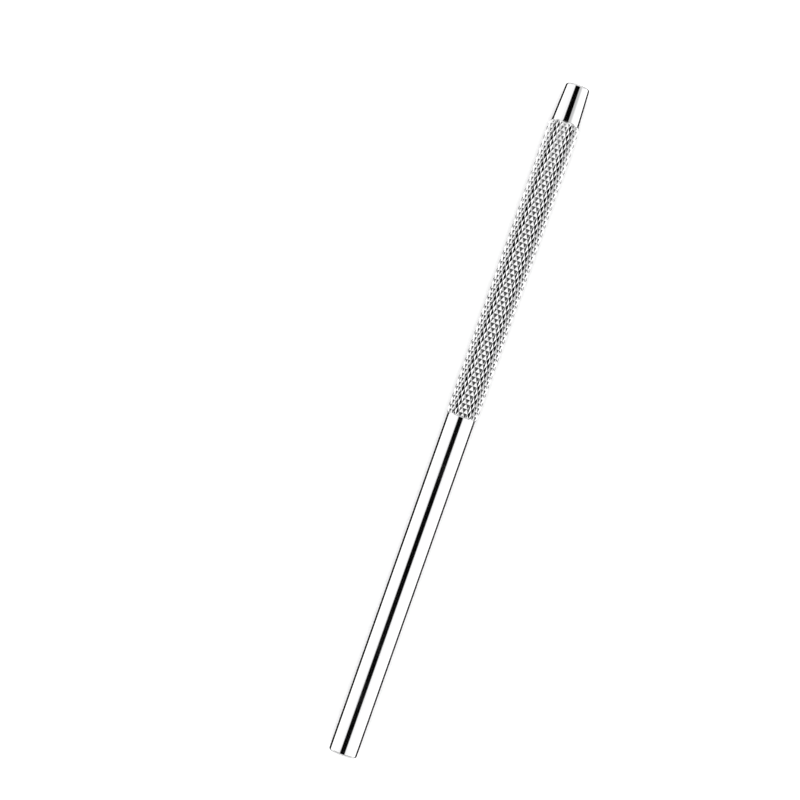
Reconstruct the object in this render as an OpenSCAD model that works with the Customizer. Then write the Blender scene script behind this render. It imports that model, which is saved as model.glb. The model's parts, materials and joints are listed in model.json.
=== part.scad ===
// Mouth mirror handle: a slim round stainless handle that a mirror head screws into.
// It lies on its side along X. The origin is the centre of its rear face, and +X points along the
// handle to the mouth of its threaded socket. Every turned shape is a profile revolved about X.

/* [Handle] */
// Length from the rear face to the mouth of the nose
handle_len = 125; // [115:1:160]
// Diameter of the plain tube
tube_d = 5.1; // [5:0.1:7]
// Thickness of the tube's wall
tube_wall = 0.8; // [0.6:0.05:0.9]
// Chamfer on the tube's rear rim
rim_chamfer = 0.3; // [0.1:0.05:0.4]

/* [Knurled grip] */
// Length of the knurled grip, which starts at the nose
knurl_len = 55; // [20:1:70]
// Number of grooves of each hand round the grip
knurl_starts = 20; // [12:1:24]
// Length of one diamond along the handle
diamond_len = 1.667; // [1.5:0.001:3]
// Height of the diamonds' points above the plain tube
knurl_rise = 0.28; // [0.1:0.01:0.4]
// Depth of the grooves below the diamonds' points
knurl_depth = 0.24; // [0.15:0.01:0.35]

/* [Nose] */
// Length of the nose that shows in front of the grip
nose_len = 7; // [5:0.5:12]
// Diameter at the mouth of the nose
mouth_d = 4.3; // [3.9:0.05:4.5]
// Diameter at the wide end of the nose's taper
taper_d = 4.95; // [4.5:0.05:4.95]
// Length of the hollow curve from the taper up to the grip
flare_len = 0.5; // [0.4:0.1:2]
// Radius that rounds the rim of the mouth
mouth_round = 0.35; // [0.1:0.05:0.4]
// Length of the spigot that is pressed into the tube
spigot_len = 9; // [6:0.5:12]

/* [Threaded socket] */
// Diameter of the tapped hole inside its M2.5 x 0.45 thread
tap_d = 2.05; // [2:0.01:2.15]
// Depth of the tapped hole, without the drill's point
tap_depth = 9; // [5:0.5:10]
// Diameter of the countersink at the mouth
sink_d = 2.6; // [2.5:0.1:3]

/* [Rear plug] */
// Length of the plug that is pressed into the tube's rear end
plug_len = 6; // [4:0.5:12]
// Chamfer round the plug's outer face
plug_chamfer = 0.15; // [0.1:0.05:0.3]

/* [Hidden] */
$fn = 96;

tube_r = tube_d / 2;
bore_r = tube_r - tube_wall;
grip_front_x = handle_len - nose_len;
grip_rear_x = grip_front_x - knurl_len;

// The knurl is a sleeve of four-sided points, with one ring of corners every half diamond.
peak_r = tube_r + knurl_rise;
groove_r = peak_r - knurl_depth;
columns = 2 * knurl_starts;
knurl_rows = 2 * round(knurl_len / diamond_len);
row_step = knurl_len / knurl_rows;
// The tube is turned down to this radius under the sleeve, just below the grooves.
core_r = min(groove_r, tube_r) - 0.12;
sleeve_in_r = (bore_r + core_r) / 2;
// Each end of the sleeve starts below the plain tube and comes out of it as a low ramp.
ramp_sink = 0.15;
ramp_rise = 0.05;

// The nose's rim and flare are curves of this many steps.
curve_steps = 8;
mouth_r = mouth_d / 2;
taper_r = taper_d / 2;
flare_x = grip_front_x + flare_len;
// Chamfer that leads the spigot and the plug into the tube
lead = 0.3;
// A twist drill leaves a point of this angle at the bottom of the hole.
drill_angle = 118;
tap_r = tap_d / 2;
drill_point_len = tap_r / tan(drill_angle / 2);
sink_r = sink_d / 2;
sink_depth = sink_r - tap_r;

steel = [0.82, 0.83, 0.84];

// A solid turned about the X axis from a list of [x, r] points.
module turned(points) {
    rotate([0, 90, 0])
        rotate_extrude()
            polygon([for (p = points) [p[1], p[0]]]);
}

// A straight hole or a cone along X, from x0 to x1, with its radius at each end.
module bar(x0, x1, r0, r1) {
    translate([x0, 0, 0])
        rotate([0, 90, 0])
            cylinder(h = x1 - x0, r1 = r0, r2 = r1);
}

// The knurl's radius at one corner. Points and grooves take turns in each ring and along the
// handle. The last ring at each end is sunk, the next is the top of the ramp, and the third is
// half cut.
function knurl_r(row, col) =
    let (
        from_end = min(row, knurl_rows - row),
        full_r = (row + col) % 2 == 0 ? peak_r : groove_r
    )
    from_end == 0 ? tube_r - ramp_sink
    : from_end == 1 ? tube_r + ramp_rise
    : from_end == 2 ? (full_r + tube_r) / 2
    : full_r;

function on_ring(x, r, col) = [x, r * cos(360 * col / columns), r * sin(360 * col / columns)];

// The knurled skin, closed by a smooth inner skin that lies inside the tube's wall.
module knurl_sleeve() {
    outer = [for (row = [0 : knurl_rows], col = [0 : columns - 1])
        on_ring(grip_rear_x + row * row_step, knurl_r(row, col), col)];
    inner = [for (x = [grip_rear_x, grip_front_x], col = [0 : columns - 1])
        on_ring(x, sleeve_in_r, col)];
    // Each square is cut from groove to groove, which leaves its points four-sided.
    skin = [for (row = [0 : knurl_rows - 1], col = [0 : columns - 1])
        let (
            a = row * columns + col,
            b = row * columns + (col + 1) % columns,
            c = a + columns,
            d = b + columns
        )
        each (row + col) % 2 == 0 ? [[a, c, b], [b, c, d]] : [[a, d, b], [a, c, d]]];
    ends = [for (col = [0 : columns - 1])
        let (
            rear_a = col,
            rear_b = (col + 1) % columns,
            front_a = rear_a + knurl_rows * columns,
            front_b = rear_b + knurl_rows * columns,
            in_rear_a = rear_a + len(outer),
            in_rear_b = rear_b + len(outer),
            in_front_a = in_rear_a + columns,
            in_front_b = in_rear_b + columns
        )
        each [
            [in_rear_a, rear_b, in_rear_b],
            [in_rear_a, rear_a, rear_b],
            [front_a, in_front_b, front_b],
            [front_a, in_front_a, in_front_b],
            [in_rear_a, in_rear_b, in_front_b],
            [in_rear_a, in_front_b, in_front_a]
        ]];
    polyhedron(concat(outer, inner), concat(skin, ends));
}

// The drawn tube: plain shank behind, knurled grip in front, bored right through.
module handle_tube() {
    color(steel)
    difference() {
        union() {
            turned([
                [0, 0],
                [0, tube_r - rim_chamfer],
                [rim_chamfer, tube_r],
                [grip_rear_x + row_step, tube_r],
                [grip_rear_x + row_step, core_r],
                [grip_front_x - row_step, core_r],
                [grip_front_x - row_step, tube_r],
                [grip_front_x, tube_r],
                [grip_front_x, 0]
            ]);
            knurl_sleeve();
        }
        bar(-1, handle_len, bore_r, bore_r);
    }
}

// The turned nose: a tapered end with a rounded mouth, a hollow flare that meets the grip, and a
// spigot inside the tube. The mirror head screws into its blind tapped hole.
module socket_nose() {
    rim = [for (i = [0 : curve_steps])
        let (angle = 90 * i / curve_steps)
        [handle_len - mouth_round * (1 - sin(angle)), mouth_r - mouth_round * (1 - cos(angle))]];
    flare = [for (i = [0 : curve_steps])
        let (t = i / curve_steps)
        [grip_front_x + flare_len * t, taper_r + (tube_r - taper_r) * pow(1 - t, 2)]];
    color(steel)
    difference() {
        turned(concat(
            [
                [grip_front_x - spigot_len, 0],
                [grip_front_x - spigot_len, bore_r - lead],
                [grip_front_x - spigot_len + lead, bore_r],
                [grip_front_x, bore_r]
            ],
            flare,
            rim,
            [[handle_len, 0]]
        ));
        bar(handle_len - tap_depth, handle_len + 1, tap_r, tap_r);
        bar(handle_len - tap_depth - drill_point_len, handle_len - tap_depth, 0, tap_r);
        bar(handle_len - sink_depth, handle_len, tap_r, sink_r);
    }
}

// The turned plug that closes the tube's rear end, flush with its rim.
module end_plug() {
    color(steel)
    turned([
        [0, 0],
        [0, bore_r - plug_chamfer],
        [plug_chamfer, bore_r],
        [plug_len - lead, bore_r],
        [plug_len, bore_r - lead],
        [plug_len, 0]
    ]);
}

handle_tube();
socket_nose();
end_plug();
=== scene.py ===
import json
import math

import bmesh
import bpy
import numpy as np
from mathutils import Matrix, Vector


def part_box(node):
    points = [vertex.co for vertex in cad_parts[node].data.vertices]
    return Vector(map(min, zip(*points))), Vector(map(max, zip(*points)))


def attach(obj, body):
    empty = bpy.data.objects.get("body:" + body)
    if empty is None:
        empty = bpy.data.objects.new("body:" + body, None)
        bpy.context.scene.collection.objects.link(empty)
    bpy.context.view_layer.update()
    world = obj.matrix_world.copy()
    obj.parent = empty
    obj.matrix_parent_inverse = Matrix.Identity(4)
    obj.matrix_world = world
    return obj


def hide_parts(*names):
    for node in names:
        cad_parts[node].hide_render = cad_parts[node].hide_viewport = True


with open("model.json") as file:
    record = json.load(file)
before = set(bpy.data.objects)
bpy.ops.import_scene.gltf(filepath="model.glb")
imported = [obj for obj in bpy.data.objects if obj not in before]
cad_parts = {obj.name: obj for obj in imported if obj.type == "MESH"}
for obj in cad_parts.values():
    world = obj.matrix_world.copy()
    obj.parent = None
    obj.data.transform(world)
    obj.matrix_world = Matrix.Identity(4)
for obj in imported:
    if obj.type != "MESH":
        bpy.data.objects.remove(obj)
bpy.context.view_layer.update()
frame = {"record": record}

# ---------------------------------------------------------------- sizes, in metres
MM = 0.001
MOUNTS = {m["name"]: m for m in frame["record"]["mounts"]}

HANDLE_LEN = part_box("socket_nose")[1].x
SEAM_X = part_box("handle_tube")[1].x
CREST_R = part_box("handle_tube")[1].z
BORE_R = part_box("end_plug")[1].z
PLUG_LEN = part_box("end_plug")[1].x
SPIGOT_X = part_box("socket_nose")[0].x
SHANK_R = MOUNTS["shank"]["dims"]["r_mm"] * MM
TAP_R = MOUNTS["head_socket"]["dims"]["r_mm"] * MM

# The grip: 20 grooves of each hand, and 33 diamonds along it.
GRIP_LEN = 55 * MM
GRIP_REAR_X = SEAM_X - GRIP_LEN
KNURL_STARTS = 20
DIAMONDS_LONG = 33
# Mesh steps in half a diamond, round the handle and along it
KNURL_STEPS = 5
# Depth of the grooves below the diamonds' points
KNURL_DEPTH = 0.22 * MM
# Edges that bend more than this are sharp, which keeps the diamonds' faces flat.
KNURL_SHARP_DEGREES = 8
# Length of the bevel that trims the knurl at each end
REAR_BEVEL = 0.5 * MM
FRONT_BEVEL = 0.34 * MM

# The nose
MOUTH_R = 2.15 * MM
TAPER_R = 2.475 * MM
FLARE_LEN = 0.5 * MM
RIM_ROUND = 0.35 * MM
SINK_R = 1.3 * MM
TAP_DEPTH = 9 * MM
DRILL_HALF_ANGLE = math.radians(59)
THREAD_PITCH = 0.45 * MM
THREAD_MAJOR_R = 1.25 * MM
NOSE_COLUMNS = 96

# Edges
RIM_CHAMFER = 0.3 * MM
PLUG_CHAMFER = 0.12 * MM
LEAD_CHAMFER = 0.3 * MM
EDGE_BREAK = 0.04 * MM


# ---------------------------------------------------------------- mesh tools
def ring(x, r, columns):
    """The points of one ring round the handle's axis. r is one radius, or one for each column."""
    angle = np.arange(columns) * 2 * math.pi / columns
    radii = np.broadcast_to(np.asarray(r, float), (columns,))
    xs = np.broadcast_to(np.asarray(x, float), (columns,))
    return np.stack([xs, radii * np.cos(angle), radii * np.sin(angle)], axis=1)


def skin(rings, diagonal=None):
    """Points and faces of a skin over a list of rings. Where diagonal(row, column) gives 0 or 1, the
    square is cut into two triangles that way; where it gives None, it stays a square."""
    columns = len(rings[0])
    faces = []
    for row in range(len(rings) - 1):
        for col in range(columns):
            a = row * columns + col
            b = row * columns + (col + 1) % columns
            c, d = a + columns, b + columns
            cut = diagonal(row, col) if diagonal else None
            if cut is None:
                faces.append((a, b, d, c))
            elif cut == 0:
                faces += [(a, b, c), (b, d, c)]
            else:
                faces += [(a, b, d), (a, d, c)]
    return np.concatenate(rings), faces


def build(name, points, faces, sharp_degrees=50):
    """A closed smooth-shaded object from points and faces, with its doubled points joined."""
    bm = bmesh.new()
    made = [bm.verts.new(p) for p in points]
    for face in faces:
        bm.faces.new([made[i] for i in face])
    bmesh.ops.remove_doubles(bm, verts=bm.verts, dist=1e-7)
    bmesh.ops.dissolve_degenerate(bm, edges=bm.edges, dist=1e-8)
    bmesh.ops.recalc_face_normals(bm, faces=bm.faces)
    mesh = bpy.data.meshes.new(name)
    bm.to_mesh(mesh)
    bm.free()
    mesh.polygons.foreach_set("use_smooth", [True] * len(mesh.polygons))
    mesh.set_sharp_from_angle(angle=math.radians(sharp_degrees))
    piece = bpy.data.objects.new(name, mesh)
    bpy.context.scene.collection.objects.link(piece)
    return piece


def quarter_round(x0, r0, x1, r1, steps):
    """Points of a quarter ellipse that leaves (x0, r0) along r and reaches (x1, r1) along x."""
    turn = np.linspace(0, math.pi / 2, steps + 1)
    return [(x1 + (x0 - x1) * math.cos(t), r0 + (r1 - r0) * math.sin(t)) for t in turn]


# ---------------------------------------------------------------- the tube and its knurl
def groove_share(t):
    """Distance of t from the nearest odd whole number: 0 in a groove, 1 in the middle of a diamond."""
    into = np.mod(t - 1, 2)
    return np.minimum(into, 2 - into)


def knurl_radii(x):
    """The radius of the knurled grip at each column, at a place along the handle: flat-faced points
    between V grooves of both hands."""
    columns = 2 * KNURL_STARTS * KNURL_STEPS
    around = np.arange(columns) / KNURL_STEPS
    along = (x - GRIP_REAR_X) / GRIP_LEN * 2 * DIAMONDS_LONG
    nearest = np.minimum(groove_share(around + along), groove_share(around - along))
    radii = CREST_R - KNURL_DEPTH * (1 - nearest)
    bevel = min((x - GRIP_REAR_X) / REAR_BEVEL, (SEAM_X - x) / FRONT_BEVEL, 1)
    return np.minimum(radii, SHANK_R + (CREST_R - SHANK_R) * max(bevel, 0))


def make_tube():
    """The drawn tube as one closed skin: rear rim, plain shank, knurled grip, front face and bore."""
    columns = 2 * KNURL_STARTS * KNURL_STEPS
    knurl_rows = 2 * DIAMONDS_LONG * KNURL_STEPS
    rear = [(EDGE_BREAK * 2, BORE_R), (0, BORE_R + EDGE_BREAK * 2)]
    rear += quarter_round(0, SHANK_R - RIM_CHAMFER, RIM_CHAMFER, SHANK_R, 16)
    shank_x = np.linspace(RIM_CHAMFER, GRIP_REAR_X, 26)[1:]
    rings = [ring(x, r, columns) for x, r in rear]
    rings += [ring(x, SHANK_R, columns) for x in shank_x]
    first_knurl_row = len(rings) - 1
    for row in range(1, knurl_rows):
        x = GRIP_REAR_X + row * GRIP_LEN / knurl_rows
        rings.append(ring(x, knurl_radii(x), columns))
    rings.append(ring(SEAM_X - EDGE_BREAK, SHANK_R, columns))
    front = [(SEAM_X, SHANK_R - EDGE_BREAK), (SEAM_X, BORE_R)]
    rings += [ring(x, r, columns) for x, r in front]
    rings.append(rings[0])

    def along_groove(row, col):
        """Cuts each square of the knurl along the groove of its half diamond."""
        knurl_row = row - first_knurl_row
        if not 0 <= knurl_row < knurl_rows:
            return None
        return (knurl_row // KNURL_STEPS + col // KNURL_STEPS) % 2

    piece = build("handle_tube_skin", *skin(rings, along_groove), sharp_degrees=KNURL_SHARP_DEGREES)
    height = np.array([math.hypot(v.co.y, v.co.z) for v in piece.data.vertices])
    crest = np.clip((height - SHANK_R) / (CREST_R - SHANK_R), 0, 1)
    crest_layer = piece.data.attributes.new("crest", "FLOAT", "POINT")
    crest_layer.data.foreach_set("value", crest.astype(np.float32))
    return piece


# ---------------------------------------------------------------- the nose and its thread
def thread_radius(x, angle):
    """The wall's radius in the tapped hole: the M2.5 thread, faded out at its deep end, and opened
    at its mouth by the countersink."""
    deep_x = HANDLE_LEN - TAP_DEPTH
    phase = ((x - deep_x) / THREAD_PITCH - angle / (2 * math.pi)) % 1
    flank = abs(2 * phase - 1)
    tooth = min(max((flank - 0.125) / (0.75 - 0.125), 0), 1)
    fade = min(max((x - deep_x) / (1.5 * THREAD_PITCH), 0), 1)
    threaded = TAP_R + (THREAD_MAJOR_R - TAP_R) * tooth * fade
    return max(threaded, SINK_R - (HANDLE_LEN - x))


def thread_rings():
    """Rings that follow the thread's helix from the mouth down to the drill's point. Those that run
    past either end stop there, and build() joins the points that this doubles."""
    steps = 8
    turns = TAP_DEPTH / THREAD_PITCH
    rings = []
    for row in range(int(math.ceil((turns + 1) * steps)) + 1):
        points = []
        for col in range(NOSE_COLUMNS):
            angle = 2 * math.pi * col / NOSE_COLUMNS
            depth = (row - steps * (1 - col / NOSE_COLUMNS)) * THREAD_PITCH / steps
            x = HANDLE_LEN - min(max(depth, 0), TAP_DEPTH)
            r = thread_radius(x, -angle)
            points.append((x, r * math.cos(angle), r * math.sin(angle)))
        rings.append(np.array(points))
    return rings


def make_nose():
    """The turned nose as one closed skin, from its spigot's rear face round to the tapped hole."""
    spigot = [
        (SPIGOT_X, 0),
        (SPIGOT_X, BORE_R - LEAD_CHAMFER),
        (SPIGOT_X + LEAD_CHAMFER, BORE_R),
        (SEAM_X, BORE_R),
        (SEAM_X, SHANK_R - EDGE_BREAK),
    ]
    flare = [
        (
            SEAM_X + EDGE_BREAK + (FLARE_LEN - EDGE_BREAK) * t,
            TAPER_R + (SHANK_R - TAPER_R) * (1 - t) ** 2,
        )
        for t in np.linspace(0, 1, 10)
    ]
    taper = [
        (x, np.interp(x, [SEAM_X + FLARE_LEN, HANDLE_LEN], [TAPER_R, MOUTH_R]))
        for x in np.linspace(SEAM_X + FLARE_LEN, HANDLE_LEN - RIM_ROUND, 12)[1:]
    ]
    rim = quarter_round(HANDLE_LEN, MOUTH_R - RIM_ROUND, HANDLE_LEN - RIM_ROUND, taper[-1][1], 8)
    outline = spigot + flare + taper + rim[::-1][1:]
    drill_tip_x = HANDLE_LEN - TAP_DEPTH - TAP_R / math.tan(DRILL_HALF_ANGLE)
    rings = [ring(x, r, NOSE_COLUMNS) for x, r in outline]
    rings.append(ring(HANDLE_LEN, SINK_R, NOSE_COLUMNS))
    rings += thread_rings()
    rings.append(ring(HANDLE_LEN - TAP_DEPTH, TAP_R, NOSE_COLUMNS))
    rings.append(ring(drill_tip_x, 0, NOSE_COLUMNS))
    return build("socket_nose_skin", *skin(rings), sharp_degrees=35)


# ---------------------------------------------------------------- the rear plug
def make_plug():
    """The turned plug: a chamfered face at the rear, and a lead on its inner end."""
    outline = [
        (0, 0),
        (0, BORE_R * 0.5),
        (0, BORE_R - PLUG_CHAMFER),
        (PLUG_CHAMFER, BORE_R),
        (PLUG_LEN - LEAD_CHAMFER, BORE_R),
        (PLUG_LEN, BORE_R - LEAD_CHAMFER),
        (PLUG_LEN, 0),
    ]
    rings = [ring(x, r, NOSE_COLUMNS) for x, r in outline]
    return build("end_plug_skin", *skin(rings), sharp_degrees=35)


# ---------------------------------------------------------------- materials
class Nodes:
    """A short way to write a node tree."""

    def __init__(self, tree):
        self.tree = tree
        tree.nodes.clear()

    def add(self, kind, settings=None, **inputs):
        node = self.tree.nodes.new(kind)
        for name, value in (settings or {}).items():
            setattr(node, name, value)
        for name, value in inputs.items():
            self.put(node.inputs[name.replace("_", " ")], value)
        return node

    def put(self, socket, value):
        if isinstance(value, bpy.types.NodeSocket):
            self.tree.links.new(value, socket)
        else:
            socket.default_value = value

    def math(self, operation, a, b=0.0, clamp=False):
        node = self.add("ShaderNodeMath", {"operation": operation, "use_clamp": clamp})
        self.put(node.inputs[0], a)
        self.put(node.inputs[1], b)
        return node.outputs[0]

    def span(self, value, low, high, to_low=0.0, to_high=1.0, smooth=False):
        """value from low..high mapped to to_low..to_high."""
        kind = "SMOOTHSTEP" if smooth else "LINEAR"
        node = self.add("ShaderNodeMapRange", {"interpolation_type": kind}, Value=value)
        names = ("From Min", "From Max", "To Min", "To Max")
        for name, number in zip(names, (low, high, to_low, to_high)):
            node.inputs[name].default_value = number
        return node.outputs[0]

    def noise(self, where, scale, detail=3.0, stretch=(1, 1, 1)):
        """Noise of a size in cycles per metre, stretched along each axis."""
        mapping = self.add("ShaderNodeMapping", Vector=where, Scale=stretch)
        node = self.add("ShaderNodeTexNoise", Vector=mapping.outputs[0], Scale=scale, Detail=detail)
        return node.outputs["Fac"]


# How much rougher a groove's bottom is than a crest, and how much its colour is darkened there as
# painted shade
GROOVE_ROUGHNESS = 0.02
GROOVE_SHADE = 0.95
# Where the shank's look turns into the grip's, to each side of the grip's rear end
GRIP_FADE = 0.2 * MM
# Cycles per metre of the steel's fingerprints, polishing marks and tint
PRINTS_SCALE = 160
ROUND_MARKS_SCALE = 2600
LONG_MARKS_SCALE = 3400
TINT_SCALE = 45
PRINTS_ROUGHNESS = 0.05
DARKEST_TINT = 0.97
# Depth of polishing marks and of a lathe tool's rings
MARK_DEPTH = 0.004 * MM


def steel(name, colour, roughness, polish_marks, knurled=False):
    """Polished stainless steel: faint fingerprints, fine polishing marks round the handle and along
    it, and on the knurl rougher grooves whose colour is darkened with painted shade under the crests."""
    material = bpy.data.materials.new(name)
    material.use_nodes = True
    n = Nodes(material.node_tree)
    place = n.add("ShaderNodeTexCoord").outputs["Object"]
    prints = n.span(n.noise(place, PRINTS_SCALE, 4), 0.5, 0.75, 0, PRINTS_ROUGHNESS, smooth=True)
    round_marks = n.noise(place, ROUND_MARKS_SCALE, 2, (1, 0.06, 0.06))
    long_marks = n.noise(place, LONG_MARKS_SCALE, 2, (0.03, 1, 1))
    marks = n.math("MULTIPLY", n.math("ADD", round_marks, long_marks), 0.5)
    rough = n.math("ADD", n.span(marks, 0.3, 0.7, roughness * 0.7, roughness * 1.4), prints)
    tint = n.noise(place, TINT_SCALE, 2)
    shade = n.span(tint, 0.35, 0.65, DARKEST_TINT, 1.0)
    if knurled:
        crest = n.add("ShaderNodeAttribute", {"attribute_name": "crest"}).outputs["Fac"]
        depth = n.math("SUBTRACT", 1.0, crest)
        along = n.add("ShaderNodeSeparateXYZ", Vector=place).outputs["X"]
        on_grip = n.span(along, GRIP_REAR_X - GRIP_FADE, GRIP_REAR_X + GRIP_FADE)
        in_groove = n.math("MULTIPLY", depth, on_grip)
        rough = n.math("ADD", rough, n.math("MULTIPLY", in_groove, GROOVE_ROUGHNESS))
        # Painted shade: the grooves' colour is darkened by depth, to stand in for shade in the knurl's
        # recesses.
        shade = n.math("MULTIPLY", shade, n.span(in_groove, 0, 1, 1.0, GROOVE_SHADE))
    tone = n.add("ShaderNodeMix", {"data_type": "RGBA", "blend_type": "MULTIPLY"})
    tone.inputs["Factor"].default_value = 1.0
    tone.inputs["A"].default_value = (*colour, 1)
    n.put(tone.inputs["B"], shade)
    bump = n.add("ShaderNodeBump", Strength=polish_marks, Distance=MARK_DEPTH, Height=marks)
    shader = n.add("ShaderNodeBsdfPrincipled", Metallic=1.0, Roughness=rough, Normal=bump.outputs[0])
    n.put(shader.inputs["Base Color"], tone.outputs["Result"])
    output = n.add("ShaderNodeOutputMaterial")
    n.put(output.inputs["Surface"], shader.outputs[0])
    return material


# The plug's face: pitch of the lathe tool's rings, cycles per metre of its dull patches, and the
# range of its roughness
RING_PITCH = 0.09 * MM
PATCH_SCALE = 700
FACE_ROUGHNESS = (0.2, 0.32)


def turned_face(name, colour):
    """The plug's faced end: satin steel with the lathe tool's fine rings."""
    material = bpy.data.materials.new(name)
    material.use_nodes = True
    n = Nodes(material.node_tree)
    place = n.add("ShaderNodeTexCoord").outputs["Object"]
    split = n.add("ShaderNodeSeparateXYZ", Vector=place)
    y_squared = n.math("POWER", split.outputs["Y"], 2.0)
    z_squared = n.math("POWER", split.outputs["Z"], 2.0)
    radius = n.math("SQRT", n.math("ADD", y_squared, z_squared))
    rings = n.math("SINE", n.math("MULTIPLY", radius, 2 * math.pi / RING_PITCH))
    patches = n.noise(place, PATCH_SCALE, 3)
    rough = n.span(patches, 0.3, 0.7, *FACE_ROUGHNESS)
    bump = n.add("ShaderNodeBump", Strength=0.35, Distance=MARK_DEPTH, Height=rings)
    shader = n.add("ShaderNodeBsdfPrincipled", Metallic=1.0, Roughness=rough, Normal=bump.outputs[0])
    shader.inputs["Base Color"].default_value = (*colour, 1)
    output = n.add("ShaderNodeOutputMaterial")
    n.put(output.inputs["Surface"], shader.outputs[0])
    return material


def dress(piece, material, node):
    """Gives a piece its material, and puts it in its CAD node's place."""
    piece.data.materials.append(material)
    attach(piece, "root")
    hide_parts(node)


# ---------------------------------------------------------------- stage, light and camera
# The studio's white is this bright, so that the polished steel reflects it as full white.
STUDIO_WHITE = 1.16
# The dark gap over the handle. Each pair is its value over the shank and over the nose.
GAP_MIDDLE = (0.06, 0.05)
GAP_HALF_WIDTH = (0.335, 0.38)
GAP_SOFTNESS = 0.06
# The grey fringe beyond the gap's edge: its depth on each side, and its reach
FRINGE_NEAR_SIDE = (0.2, 0.48)
FRINGE_FAR_SIDE = (0.2, 0.12)
FRINGE_START = (0.22, 0.55)
FRINGE_END = (0.7, 0.85)
# Where the shank's values turn into the nose's, as the forward part of a unit direction
NOSE_TURN = (0.08, 0.22)
# Where the gap ends in front
GAP_FRONT = (0.56, 0.9)
# A dark bar crosses behind the gap, between these parts backward of a unit direction. The knurl's
# rear faces reflect it.
BAR = (0.23, 0.61)
BAR_SOFTNESS = 0.04
BAR_DARKNESS = 0.94
# A small dark spot low in front on each side: its span forward, and where it starts sideways
SPOTS = (0.5, 0.74)
SPOTS_ASIDE = (0.66, 0.72)
SPOTS_DARKNESS = 0.8
# The studio's two end walls are darker, from these parts of a unit direction forward or backward on,
# so that the steel stands out from the white floor when it is seen from an end.
END_WALLS = (0.57, 0.65)
END_WALLS_DARKNESS = 0.42


def make_world():
    """A white studio with a dark gap overhead that runs along the handle, a dark bar across its rear
    end, two dark spots in front and darker end walls. Only reflections see these. The +Y side is the
    far side."""
    world = bpy.data.worlds.new("studio")
    world.use_nodes = True
    bpy.context.scene.world = world
    n = Nodes(world.node_tree)
    way = n.add("ShaderNodeSeparateXYZ", Vector=n.add("ShaderNodeTexCoord").outputs["Generated"])
    forward = way.outputs["X"]

    def on_way_to_nose(pair):
        return n.span(forward, *NOSE_TURN, *pair, smooth=True)

    sideways = n.math("SUBTRACT", way.outputs["Y"], on_way_to_nose(GAP_MIDDLE))
    from_middle = n.math("ABSOLUTE", sideways)
    past_edge = n.math("SUBTRACT", from_middle, on_way_to_nose(GAP_HALF_WIDTH))
    core = n.span(past_edge, -GAP_SOFTNESS, GAP_SOFTNESS, 1, 0, smooth=True)
    far_side = n.span(sideways, -0.05, 0.05)
    far_fringe = n.math("MULTIPLY", far_side, on_way_to_nose(FRINGE_FAR_SIDE))
    near_side = n.math("SUBTRACT", 1.0, far_side)
    near_fringe = n.math("MULTIPLY", near_side, on_way_to_nose(FRINGE_NEAR_SIDE))
    reach = n.span(from_middle, 0, 1, 1, 0, smooth=True)
    n.put(reach.node.inputs["From Min"], on_way_to_nose(FRINGE_START))
    n.put(reach.node.inputs["From Max"], on_way_to_nose(FRINGE_END))
    fringe = n.math("MULTIPLY", n.math("ADD", far_fringe, near_fringe), reach)
    backward = n.math("MULTIPLY", forward, -1.0)
    bar_near = n.span(backward, BAR[0] - BAR_SOFTNESS, BAR[0] + BAR_SOFTNESS, smooth=True)
    bar_far = n.span(backward, BAR[1] - BAR_SOFTNESS, BAR[1] + BAR_SOFTNESS, 1, 0, smooth=True)
    bar = n.math("MULTIPLY", n.math("MULTIPLY", bar_near, bar_far), BAR_DARKNESS)
    before_front = n.span(forward, *GAP_FRONT, 1, 0, smooth=True)
    gap_end = n.math("MULTIPLY", bar_far, before_front)
    gap_and_bar = n.math("MAXIMUM", n.math("MULTIPLY", n.math("MAXIMUM", core, fringe), gap_end), bar)
    spot_near = n.span(forward, SPOTS[0], SPOTS[0] + BAR_SOFTNESS, smooth=True)
    spot_far = n.span(forward, SPOTS[1] - BAR_SOFTNESS, SPOTS[1], 1, 0, smooth=True)
    spot_side = n.span(from_middle, *SPOTS_ASIDE, 0, SPOTS_DARKNESS, smooth=True)
    spots = n.math("MULTIPLY", n.math("MULTIPLY", spot_near, spot_far), spot_side)
    end_walls = n.span(n.math("ABSOLUTE", forward), *END_WALLS, 0, END_WALLS_DARKNESS, smooth=True)
    above = n.span(way.outputs["Z"], -0.02, 0.02)
    ends = n.math("MAXIMUM", spots, end_walls)
    gap = n.math("MULTIPLY", n.math("MAXIMUM", gap_and_bar, ends), above)
    in_reflection = n.add("ShaderNodeLightPath").outputs["Is Glossy Ray"]
    gap_seen = n.math("MULTIPLY", gap, in_reflection)
    light = n.math("MULTIPLY", n.math("SUBTRACT", 1.0, gap_seen), STUDIO_WHITE)
    background = n.add("ShaderNodeBackground", Strength=light)
    background.inputs["Color"].default_value = (1, 1, 1, 1)
    output = n.add("ShaderNodeOutputWorld")
    n.put(output.inputs["Surface"], background.outputs[0])


def flat_sheet(name, low, high, z, material):
    """A rectangle on the stage, from low to high in X and Y."""
    corners = [(low[0], low[1], z), (high[0], low[1], z), (high[0], high[1], z), (low[0], high[1], z)]
    mesh = bpy.data.meshes.new(name)
    mesh.from_pydata(corners, [], [(0, 1, 2, 3)])
    mesh.materials.append(material)
    sheet = bpy.data.objects.new(name, mesh)
    bpy.context.scene.collection.objects.link(sheet)
    return sheet


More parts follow.
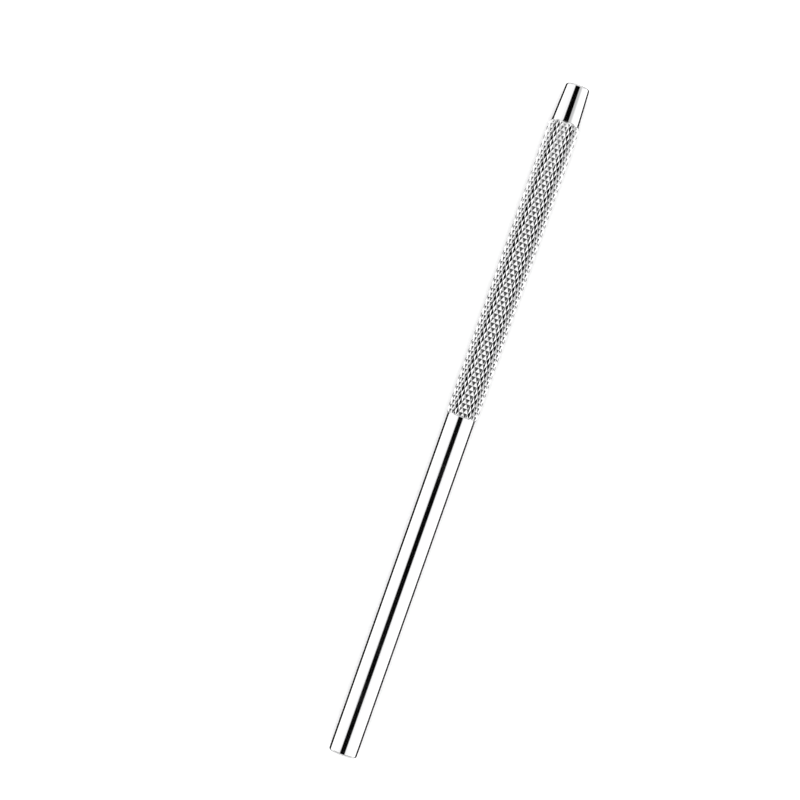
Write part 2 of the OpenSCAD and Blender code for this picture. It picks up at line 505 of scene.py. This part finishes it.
def make_floor():
    """A plain pale floor that the knurl's crests rest on."""
    material = bpy.data.materials.new("pale_floor")
    material.use_nodes = True
    n = Nodes(material.node_tree)
    place = n.add("ShaderNodeTexCoord").outputs["Object"]
    grain = n.noise(place, 900, 2)
    bump = n.add("ShaderNodeBump", Strength=0.05, Distance=0.02 * MM, Height=grain)
    shader = n.add("ShaderNodeBsdfPrincipled", Roughness=0.8, Normal=bump.outputs[0])
    shader.inputs["Base Color"].default_value = (0.9, 0.9, 0.9, 1)
    shader.inputs["Specular IOR Level"].default_value = 0.1
    output = n.add("ShaderNodeOutputMaterial")
    n.put(output.inputs["Surface"], shader.outputs[0])
    reach = 3.0
    flat_sheet("floor", (-reach, -reach), (reach, reach), -CREST_R, material)


# The dark card fades out between these distances from the handle's axis, and lies this much above
# the floor.
CARD_FADE = (6.5 * MM, 11 * MM)
CARD_LIFT = 0.02 * MM


def make_dark_card():
    """A dark card under the handle that only reflections see: a painted reflection of shade on the
    floor under the handle, which draws the steel's dark edge lines.
    """
    material = bpy.data.materials.new("dark_card")
    material.use_nodes = True
    n = Nodes(material.node_tree)
    side = n.add("ShaderNodeSeparateXYZ", Vector=n.add("ShaderNodeTexCoord").outputs["Object"])
    from_axis = n.math("ABSOLUTE", side.outputs["Y"])
    dark = n.add("ShaderNodeEmission", Strength=0.0)
    clear = n.add("ShaderNodeBsdfTransparent")
    fade = n.span(from_axis, *CARD_FADE, smooth=True)
    mix = n.add("ShaderNodeMixShader", Fac=fade)
    n.put(mix.inputs[1], dark.outputs[0])
    n.put(mix.inputs[2], clear.outputs[0])
    output = n.add("ShaderNodeOutputMaterial")
    n.put(output.inputs["Surface"], mix.outputs[0])
    half = CARD_FADE[1] + MM
    front = HANDLE_LEN + half
    card = flat_sheet("dark_card", (-half, -half), (front, half), -CREST_R + CARD_LIFT, material)
    card.visible_camera = False
    card.visible_diffuse = False
    card.visible_shadow = False
    card.visible_transmission = False


def make_lights():
    """One large softbox overhead that lights the floor and casts a soft shadow."""
    data = bpy.data.lights.new("softbox", "AREA")
    data.shape = "SQUARE"
    data.size = 1.6
    data.energy = 9.0
    softbox = bpy.data.objects.new("softbox", data)
    softbox.location = (HANDLE_LEN / 2, 0, 1.0)
    aim = Vector((HANDLE_LEN / 2, 0, 0)) - softbox.location
    softbox.rotation_euler = aim.to_track_quat("-Z", "Y").to_euler()
    softbox.visible_glossy = False
    softbox.visible_camera = False
    bpy.context.scene.collection.objects.link(softbox)


# The camera looks straight down on the handle, which leans this far to the right in the frame.
LEAN = math.radians(19.456)
CAMERA_HEIGHT = 392 * MM
CAMERA_LENS = 99.8
# Where the frame's centre lies from the handle's middle, to the right and up in the frame
FRAME_RIGHT = -10.66 * MM
FRAME_UP = 3.53 * MM


def make_camera():
    right = Vector((math.sin(LEAN), -math.cos(LEAN), 0))
    up = Vector((math.cos(LEAN), math.sin(LEAN), 0))
    back = Vector((0, 0, 1))
    place = Vector((HANDLE_LEN / 2, 0, CAMERA_HEIGHT)) + right * FRAME_RIGHT + up * FRAME_UP
    data = bpy.data.cameras.new("camera")
    data.lens = CAMERA_LENS
    camera = bpy.data.objects.new("camera", data)
    turn = Matrix((right, up, back)).transposed().to_4x4()
    camera.matrix_world = Matrix.Translation(place) @ turn
    bpy.context.scene.collection.objects.link(camera)
    bpy.context.scene.camera = camera


# ---------------------------------------------------------------- the scene
WHITE_STEEL = (0.93, 0.93, 0.935)
SATIN_STEEL = (0.8, 0.8, 0.805)

tube_steel = steel("tube_steel", WHITE_STEEL, 0.07, 0.15, knurled=True)
nose_steel = steel("nose_steel", WHITE_STEEL, 0.06, 0.1)
dress(make_tube(), tube_steel, "handle_tube")
dress(make_nose(), nose_steel, "socket_nose")
dress(make_plug(), turned_face("plug_steel", SATIN_STEEL), "end_plug")

make_world()
make_floor()
make_dark_card()
make_lights()
make_camera()
bpy.context.scene.view_settings.view_transform = "Standard"
